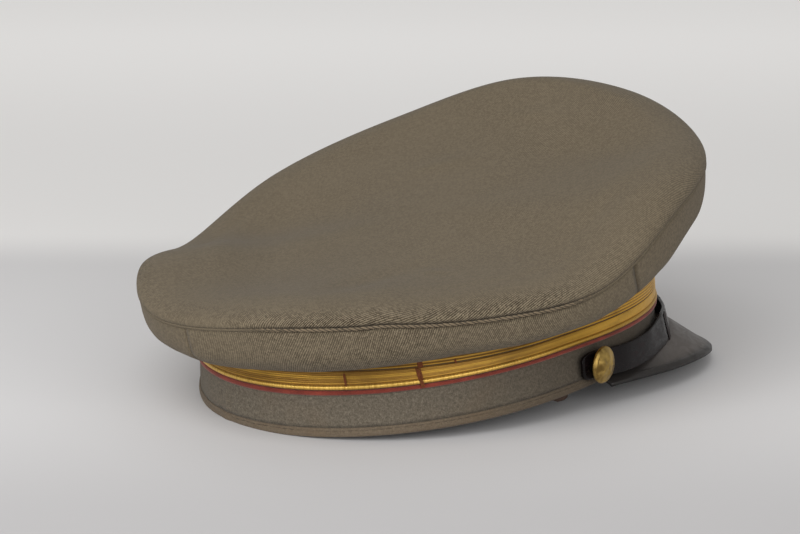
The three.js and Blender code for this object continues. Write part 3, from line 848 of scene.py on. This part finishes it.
sideArc = arcTable(lambda t: crownStation(t)[0] * 0.9)
crisp = {"from": (88 * degree, 102 * degree), "to": (142 * degree, 168 * degree)}


def wornRound(t):  # 0 where the weave is crisp, at both sides behind the buttons, and 1 elsewhere
    away = np.abs(angleGap(t, 0))
    return 1 - smooth(away, *crisp["from"]) * (1 - smooth(away, *crisp["to"]))


def sidePanel(name, start, end, steps, node):
    share = np.linspace(0, 1, side["rows"])
    along = np.linspace(0, 1, steps + 1)[:, None]
    t = lerp(start(share)[None], end(share)[None], along)
    foot = crownStation(t)[1] - welt["half"]  # where the welt starts
    at = share[None] * shareAtHeight(sideProfile, t[:, -1], foot[:, -1] + welt["sewn"])[:, None]
    fromEnd = np.minimum(along, 1 - along) * (sideArc(end(share)) - sideArc(start(share)))[None]
    atRear = np.abs(angleGap(t, math.pi)) < side["rearReach"]  # the seam there is softer
    strength = np.where(atRear, side["rearShare"], 1)
    puckers, clear = pucker(t, share[None]), seamClear(t)
    out, up = offsetPoint(sideProfile, t, at, 0)
    tuck = strength * side["seamValley"] * (1 - smooth(fromEnd, 0, side["seamWidth"]))
    tuck = tuck + welt["valley"] * smooth(up, foot - welt["valleyWidth"], foot + welt["sewn"]) * clear
    outer = place(t, out + puckers - tuck, up)
    shade = smooth(up, foot - welt["shadeWidth"], foot + welt["sewn"]) * 0.7 * clear
    shade = np.maximum(shade, strength * 0.5 * (1 - smooth(fromEnd, 0, side["seamWidth"] * 0.6)))
    out, up = offsetPoint(sideProfile, t, at, crown["cloth"])
    inner = place(t, out + puckers, up)
    inner[:, -3:] = (inner[:, -3:] + outer[:, -3:]) / 2  # thinner where it is sewn in
    there = np.stack([sideArc(t), climbed(outer)], -1)
    uv = np.concatenate([there, there[:, ::-1], there[:, :1]], 1)
    panel = sweep(name, np.concatenate([outer, inner[:, ::-1]], 1), uv, twillSide, closed=False)
    worn = lerp(*side["worn"], wornRound(t))
    shadeSeam(panel, np.concatenate([shade, shade[:, ::-1]], 1), np.concatenate([worn, worn], 1))
    return dress(panel, "twill", node)


rear = lambda share: side["rearSeam"] + 0 * share
sidePanel("sideFront", lambda s: -quarterSeam(s), quarterSeam, 130, "crown_side_front")
sidePanel("sideRight", quarterSeam, rear, 96, "crown_side_right")
sidePanel("sideLeft", rear, lambda s: turn - quarterSeam(s), 96, "crown_side_left")
print("crown side made")

# Top of the crown
top = {"shoulderRows": 22, "levelRows": 46, "innerRows": 14, "crispShare": (0.2, 0.75), "wornShare": 0.85}


def crestLean(heights, t):
    mean = heights.mean()
    front, right = (2 * (heights * wave(t)).mean() for wave in (np.cos, np.sin))
    lean = front * np.cos(t) + right * np.sin(t)
    return mean, lean, heights - mean - lean


# Soft dents and folds on the level top: place, way along it, half length, half width and height
folds = ((-78, -37, 99, 28, 6, -1.1), (-23, -73, 20, 26, 13, -1.3), (40, 10, 60, 30, 16, -1.1),
         (28, -36, 45, 15, 5, 0.8), (18, -84, 30, 14, 5, 0.7), (-56, 35, 30, 7, 2.6, 0.5),
         (43, 73, 146, 42, 8, 1.2), (30, 58, 146, 40, 9, -0.9), (-47, 60, 92, 34, 7, -0.9))


def dents(points):
    total = 0
    for x, y, way, length, width, height in folds:
        dx, dy = points[..., 0] - x, points[..., 1] - y
        c, s = math.cos(way * degree), math.sin(way * degree)
        total = total + height * bell(dx * c + dy * s, length) * bell(dy * c - dx * s, width)
    return total


def crownTop():
    t = np.arange(crown["steps"]) * turn / crown["steps"]
    crest = shoulderProfile(t, np.ones_like(t))
    mean, lean, rest = crestLean(crest[:, 1], t)
    rim = place(t, crest[:, 0], crest[:, 1])[:, :2]
    edge = crownStation(t)[1] + welt["half"]  # where the welt ends
    begin = shareAtHeight(shoulderProfile, t, edge - welt["sewn"])

    def shoulder(share, depth):
        out, up = offsetPoint(shoulderProfile, t, begin + (1 - begin) * share, depth)
        if depth == 0:
            tuck = 1 - smooth(up, edge - welt["sewn"], edge + welt["valleyWidth"])
            out = out - welt["valley"] * tuck * seamClear(t)
        return place(t, out, up)

    def levelTop(share, depth):
        sag = crown["sag"] * (1 - share ** 4) ** 1.5
        up = mean + lean * share + rest * share ** 2 - sag - depth
        return np.concatenate([rim * share, up[:, None]], 1)

    shoulderRows, cloth = top["shoulderRows"], crown["cloth"]
    outer = [shoulder(s, 0) for s in np.linspace(0, 1, shoulderRows)]
    outer += [levelTop(s, 0) for s in np.linspace(1, 0, top["levelRows"] + 1)[1:-1]]
    inner = [levelTop(s, cloth) for s in np.linspace(0, 1, top["innerRows"])[1:-1]]
    inner += [shoulder(s, cloth) for s in np.linspace(1, 0, top["innerRows"])]
    outer, inner = np.stack(outer, 1), np.stack(inner, 1)
    outer[..., 2] += dents(outer)
    climb = climbed(outer[:, shoulderRows - 1::-1])[:, ::-1]
    uv = outer[..., :2].copy()
    uv[:, :shoulderRows] = rim[:, None] + outline(t)[1][:, None] * climb[..., None]
    uv = np.concatenate([uv[:, ::-1], inner[:, ::-1, :2]], 1)
    rows = np.concatenate([outer[:, ::-1], inner[:, ::-1]], 1)
    poles = np.array([(0, 0, mean - crown["sag"]), (0, 0, mean - crown["sag"] - cloth)])
    poles[:, 2] += dents(poles)
    piece = poledMesh("crownTop", rows, uv, poles, twillTop)
    near = slice(outer.shape[1] - shoulderRows, outer.shape[1])
    shade, worn = np.zeros(rows.shape[:2]), np.ones(rows.shape[:2])
    shade[:, near] = 1 - smooth(rows[:, near, 2] - edge[:, None], -0.2, welt["shadeWidth"])
    shade[:, near] *= seamClear(t)[:, None]
    fromSeam = smooth(np.linspace(0, 1, shoulderRows), *top["crispShare"])[::-1]
    worn[:, near] = np.maximum(fromSeam, top["wornShare"] * wornRound(t)[:, None])
    shadeSeam(piece, np.append(shade.ravel(), [0, 0]), np.append(worn.ravel(), [1, 1]))
    return piece


dress(crownTop(), "twill", "crown_top")


# Welt between side and top: a narrow roll with the cloth twisted over it
def weltSection(t):
    reach, seam, _ = crownStation(t)
    out, up = welt["proud"] + 0.3, welt["half"] - 0.2
    return [(reach - 0.5 + out * math.cos(angle), seam + up * math.sin(angle))
            for angle in np.arange(welt["points"]) * turn / welt["points"]]


weltPiece = dress(ringPiece("crownWelt", weltSection, twillWelt, welt["steps"]), "twill", "crown_welt")
weltT = np.arange(welt["steps"]) * turn / welt["steps"]
clear = seamClear(weltT)
weltShade = np.repeat(welt["shade"] * clear, welt["points"])
shadeSeam(weltPiece, weltShade, 1 - weltShade)
rope = {"spacing": 2.25, "length": 3.6, "thickness": 0.88, "deep": 0.5, "slant": -19 * degree}
reach, seam, _ = crownStation(weltT)
ropeOut = reach - rope["deep"] * (1 - clear) / (1 - welt["faint"])  # it sinks where the seam is pressed flat
stitchRow("weltRope", weltT, place(weltT, ropeOut, seam), rope, ropeThread, "twill")
print("crown made")

# Peak: a curved plate with a raised rim
peak = {"halfAngle": 83 * degree, "cutBack": 8.5 * degree, "depth": 43, "endDepth": 3, "power": 1.8,
        "slopeFront": 34.5 * degree, "slopeEnd": 25 * degree, "sideLift": 4.5 * degree,
        "liftAt": (42 * degree, 15 * degree), "leather": 1.8, "edge": 0.75, "dome": 6.2,
        "domeFrom": (0.1, 0.4), "rootOut": -1.6, "rimWidth": 2.6, "rimProud": 0.4, "rimDepth": (4, 12),
        "steps": 160, "rows": 28, "rowPower": 1.6, "shade": 0.85, "shadeWidth": 5.5,
        "shadeFrom": (46 * degree, 66 * degree)}


def peakPiece():
    t = np.linspace(-1, 1, peak["steps"] + 1) * (peak["halfAngle"] - peak["cutBack"])
    depthShare = np.clip(np.cos(math.pi / 2 * np.abs(t / peak["halfAngle"])), 0, 1) ** peak["power"]
    depth = lerp(peak["endDepth"], peak["depth"], depthShare)
    liftAt, liftWidth = peak["liftAt"]
    slope = lerp(peak["slopeEnd"], peak["slopeFront"], depthShare)
    slope = slope - peak["sideLift"] * bell(np.abs(t) - liftAt, liftWidth)
    drop = peak["leather"] / np.cos(slope)
    lower, upper, shade = [], [], []
    for share in 1 - (1 - np.linspace(0, 1, peak["rows"])) ** peak["rowPower"]:
        under = place(t, peak["rootOut"] + depth * share * np.cos(slope),
                      hem["lower"] - gap - drop - depth * share * np.sin(slope))
        under[:, 2] = np.maximum(under[:, 2], groundHeight(under[:, 1]) + groundGap)
        under[:, 2] += peak["dome"] * depthShare * smooth(share, *peak["domeFrom"]) * (1 - share)
        fromEdge = depth * (1 - share)
        rim = peak["rimProud"] * (1 - smooth(fromEdge, peak["rimWidth"] * 0.55, peak["rimWidth"]))
        rim = rim * smooth(fromEdge, -0.8, 1.0) * smooth(depth, *peak["rimDepth"])
        over = under.copy()
        over[:, 2] += peak["edge"] * drop + rim
        edge = 1 - smooth(fromEdge, 0.5, peak["shadeWidth"])
        shade.append(peak["shade"] * np.maximum(edge, smooth(np.abs(t), *peak["shadeFrom"])))
        lower.append(under)
        upper.append(over)
    rows = np.stack(upper + lower[::-1], 1)
    piece = sweep("peakLeather", rows, sectionUv(rows, bandArc(t)), peakPatentSheen, closed=False)
    # painted shade near the rim and towards the ends; the underside is dark all over
    store(piece, "seam", np.stack(shade + [np.ones_like(t)] * len(lower), 1))
    return piece


dress(peakPiece(), "patent_leather", "peak")

# Chin strap, its keepers and the buttons
strap = {"width": 11.5, "leather": 1.4, "out": 2.4, "standOff": 4.6, "standOffAngle": 52 * degree, "sag": 4.5,
         "sagAngle": 56 * degree, "swell": 1.6, "swellAt": (45 * degree, 7.5 * degree), "lean": 10.5 * degree,
         "halfAngle": 84.3 * degree, "frontTop": 8, "roundEnd": 3 * degree, "endWidth": 0.62, "round": 0.5,
         "steps": 220, "waves": ((17, 1, 0.16), (31, 2, 0.12))}
keeper = {"angle": 43 * degree, "width": 5, "leather": 0.45, "round": 0.7}
button = {"angle": 80 * degree, "height": 8.9, "diameter": 15.3, "post": 3.2, "postStart": 0.7, "standOff": 1,
          "tilt": 9 * degree, "forward": 0.8, "rim": ((0.8, 0), (0.15, 0.25), (0, 0.7), (0.1, 1.15)),
          "domeInset": 0.35, "domeStart": 1.25, "dome": 2.55, "roundness": 2.2, "cord": 0.22, "twists": 36,
          "petal": 0.3, "petals": 5, "boss": 0.25, "steps": 96, "rings": 44}


def nearPeak(t, halfAngle):
    return np.cos(math.pi / 2 * np.minimum(np.abs(t) / halfAngle, 1)) ** 2


def strapPoint(t, down, outward):  # down the strap from its upper edge, and out from its inner face
    towardsButton = np.minimum(np.abs(t / button["angle"]), 1) ** 5
    upper = lerp(strap["frontTop"], button["height"] + strap["width"] / 2, towardsButton)
    upper = upper - strap["sag"] * nearPeak(t, strap["sagAngle"])
    lean = strap["lean"] * (1 - towardsButton)
    inside = strap["out"] + strap["standOff"] * nearPeak(t, strap["standOffAngle"])
    return place(t, inside + down * np.sin(lean) + outward * np.cos(lean),
                 upper - down * np.cos(lean) + outward * np.sin(lean))


def roundedBox(halfWidth, halfDepth, radius, steps=4):
    points = []
    for k, (sx, sy) in enumerate(((1, 1), (-1, 1), (-1, -1), (1, -1))):
        for angle in (k + np.arange(steps + 1) / steps) * math.pi / 2:
            points.append((sx * (halfWidth - radius) + radius * math.cos(angle),
                           sy * (halfDepth - radius) + radius * math.sin(angle)))
    return np.array(points)


def strapPiece():
    t = np.linspace(-strap["halfAngle"], strap["halfAngle"], strap["steps"] + 1)
    fromEnd = np.minimum((strap["halfAngle"] - np.abs(t)) / strap["roundEnd"], 1)
    width = strap["width"] * lerp(strap["endWidth"], 1, np.sqrt(1 - (1 - fromEnd) ** 2))
    section = roundedBox(strap["width"] / 2, strap["leather"] / 2, strap["round"])
    section = np.roll(section, -(len(section) // 4), 0)
    swellAt, swellWidth = strap["swellAt"]
    swell = strap["swell"] * bell(np.abs(t) - swellAt, swellWidth)
    rows = []
    for down, outward in section:
        rise = swell * (0.5 - down / strap["width"])  # wider on its upper side only
        rows.append(strapPoint(t, strap["width"] / 2 + down * width / strap["width"] - rise,
                               strap["leather"] / 2 + outward + waves(t, strap["waves"])))
    rows = np.stack(rows, 1)
    return sweep("chinStrap", rows, sectionUv(rows, bandArc(t)), strapPatent, closed=False)


dress(strapPiece(), "patent_leather", "chin_strap")


def keeperPiece(name, sign, node):
    skin, hole = keeper["leather"], gap + keeper["leather"] / 2
    loop = roundedBox(strap["width"] / 2 + hole, strap["leather"] / 2 + hole, keeper["round"], 5)
    section = roundedBox(keeper["width"] / 2, skin / 2, 0.25, 3)
    rows = []
    for down, outward in loop:
        ray = np.array([down, outward]) - loop.mean(0)
        ray /= np.linalg.norm(ray)
        rows.append([strapPoint(np.array([sign * keeper["angle"] + a / band["halfLength"]]),
                                strap["width"] / 2 + down + ray[0] * d,
                                strap["leather"] / 2 + outward + ray[1] * d)[0] for a, d in section])
    rows = np.array(rows)
    piece = sweep(name, rows, sectionUv(rows, np.arange(len(rows) + 1.0)), keeperPatent)
    return dress(piece, "patent_leather", node)


keeperPiece("keeperRight", 1, "strap_keeper_right")
keeperPiece("keeperLeft", -1, "strap_keeper_left")


def buttonPiece(name, sign, node):  # rings round an axis: post, rim and dome with a plain stamped flower
    radius, tilt = button["diameter"] / 2, button["tilt"]
    back = strap["out"] + strap["leather"] + button["standOff"] - button["postStart"]
    angle = np.arange(button["steps"]) * turn / button["steps"]
    profile = [(0.4, 0), (button["post"] / 2, 0), (button["post"] / 2, back)]
    profile += [(radius - inset, back + high) for inset, high in button["rim"]]
    reach, high = np.array(profile).T[..., None]
    level = (1 - button["domeInset"] / radius) * (1 - np.linspace(0, 0.985, button["rings"]))[:, None]
    twists = 0.75 + 0.25 * np.sin(button["twists"] * angle + 20 * level)
    petals = np.maximum(np.cos(button["petals"] * angle + sign * 0.4), -0.2)
    dome = back + button["domeStart"] + button["dome"] * (1 - level ** button["roundness"])
    dome = dome + button["cord"] * bell(level - 0.86, 0.035) * twists
    dome += button["petal"] * bell(level - 0.45, 0.2) * petals + button["boss"] * bell(level, 0.13)
    reach, high = np.concatenate([reach, level * radius]), np.concatenate([high + 0 * angle, dome])
    rows = np.stack([reach * np.cos(angle), reach * np.sin(angle), high], -1)
    head = rows[..., 2] > back - 0.1  # the head is turned on the post
    rows[..., 2] += np.where(head, math.sin(tilt) * (radius - rows[..., 0]), 0)
    rows[..., 0] *= np.where(head, math.cos(tilt), 1)
    t = np.array([sign * button["angle"]])
    normal = normals(t)[0]
    across = np.array([-normal[1], normal[0], 0]) * sign  # to the front
    centre = place(t, button["postStart"], button["height"])[0] + across * button["forward"]
    tip = back + button["domeStart"] + button["dome"] + button["boss"] + math.sin(tilt) * radius
    points = centre + rows @ np.array([across, (0, 0, 1), normal])
    piece = poledMesh(name, points.swapaxes(0, 1), rows[..., :2].swapaxes(0, 1),
                      np.array([centre, centre + normal * tip]), buttonBrass)
    return dress(piece, "button_brass", node)


buttonPiece("buttonRight", 1, "button_right")
buttonPiece("buttonLeft", -1, "button_left")
print("peak, strap and buttons made")

# Camera at the photograph's angle
def facing(name, data, where, way):  # placed, and turned to look along way
    made = linked(name, data)
    made.location = where
    made.rotation_mode = "QUATERNION"
    made.rotation_quaternion = way.to_track_quat("-Z", "Y")
    return made


camera = {"azimuth": 232.8 * degree, "elevation": 13.4 * degree, "place": (-0.6596, 0.5191, 0.2481),
          "lens": 90, "sensor": 36, "clip": (0.01, 20)}
back = Vector((math.sin(camera["azimuth"]) * math.cos(camera["elevation"]),
               -math.cos(camera["azimuth"]) * math.cos(camera["elevation"]), math.sin(camera["elevation"])))
lensData = bpy.data.cameras.new("camera")
lensData.lens, lensData.sensor_width = camera["lens"], camera["sensor"]
lensData.clip_start, lensData.clip_end = camera["clip"]
bpy.context.scene.camera = facing("camera", lensData, camera["place"], -back)

# Table, with a paler ground behind it; the far ground is painted lighter with distance and given a painted
# glow, and the near table is painted darker as painted shade
stage = {"half": 4.0, "edge": 0.245, "softness": 0.045, "nearDepth": (-0.2, -0.04), "farDepth": (0.25, 1.3),
         "near": (0.51, 0.502, 0.506, 1), "table": (0.675, 0.667, 0.67, 1), "behind": (0.77, 0.76, 0.75, 1),
         "far": (0.9, 0.89, 0.88, 1), "paintedGlow": (0.08, 0.24)}


def stageFinish():
    finish = Finish("tabletop", Roughness=0.75, Specular_IOR_Level=0.2, Emission_Strength=1.0)
    place = finish.place()
    x, y = finish.split(place, 0, 1)
    away = Vector((-back.x, -back.y)).normalized()
    depth = x * away.x + y * away.y
    cloudy = finish.noise(place, 3.0, 3.0)
    drift = depth + (cloudy - 0.5) * 0.02
    # the near part of the table is painted darker as painted shade
    table = drift.ramp(*stage["nearDepth"]).mixed(stage["near"], stage["table"])
    # the far ground is painted lighter with distance and given a painted glow, to make up for the lamps'
    # falloff
    ground = drift.ramp(*stage["farDepth"]).mixed(stage["behind"], stage["far"])
    edge = drift.ramp(stage["edge"] - stage["softness"], stage["edge"] + stage["softness"])
    paintedGlow = edge * drift.ramp(*stage["farDepth"], *stage["paintedGlow"])
    finish.feed(Base_Color=edge.mixed(table, ground), Emission_Color=paintedGlow.mixed((0, 0, 0, 1), stage["far"]))
    finish.bump(finish.noise(place, 25, 4.0), 0.5, 0.25)
    return finish.material


half = stage["half"]
floorMesh = bpy.data.meshes.new("floor")
corners = [(-half, -half, 0), (half, -half, 0), (half, half, 0), (-half, half, 0)]
floorMesh.from_pydata(corners, [], [(0, 1, 2, 3)])
floorMesh.materials.append(stageFinish())
linked("floor", floorMesh)

# Soft studio light, strongest from the upper left of the camera: each lamp's place, size and power
lamps = {"key": ((-0.55, 0.97, 1.05), 1.2, 12.5), "left": ((-0.25, 1.35, 0.4), 1.0, 9),
         "right": ((-1.35, 0.2, 0.35), 1.0, 8.5)}
for name, (where, size, power) in lamps.items():
    data = bpy.data.lights.new(name + "Light", "AREA")
    data.size, data.energy = size, power
    facing(name + "Light", data, where, Vector((0, 0, 0.05)) - Vector(where))
skyLight = {"Color": (1.0, 0.99, 0.975, 1), "Strength": 0.44}
world = bpy.data.worlds.new("studio")
world.use_nodes = True
for socket, value in skyLight.items():
    world.node_tree.nodes["Background"].inputs[socket].default_value = value
bpy.context.scene.world = world
bpy.context.scene.view_settings.view_transform = "Standard"
print("stage made")
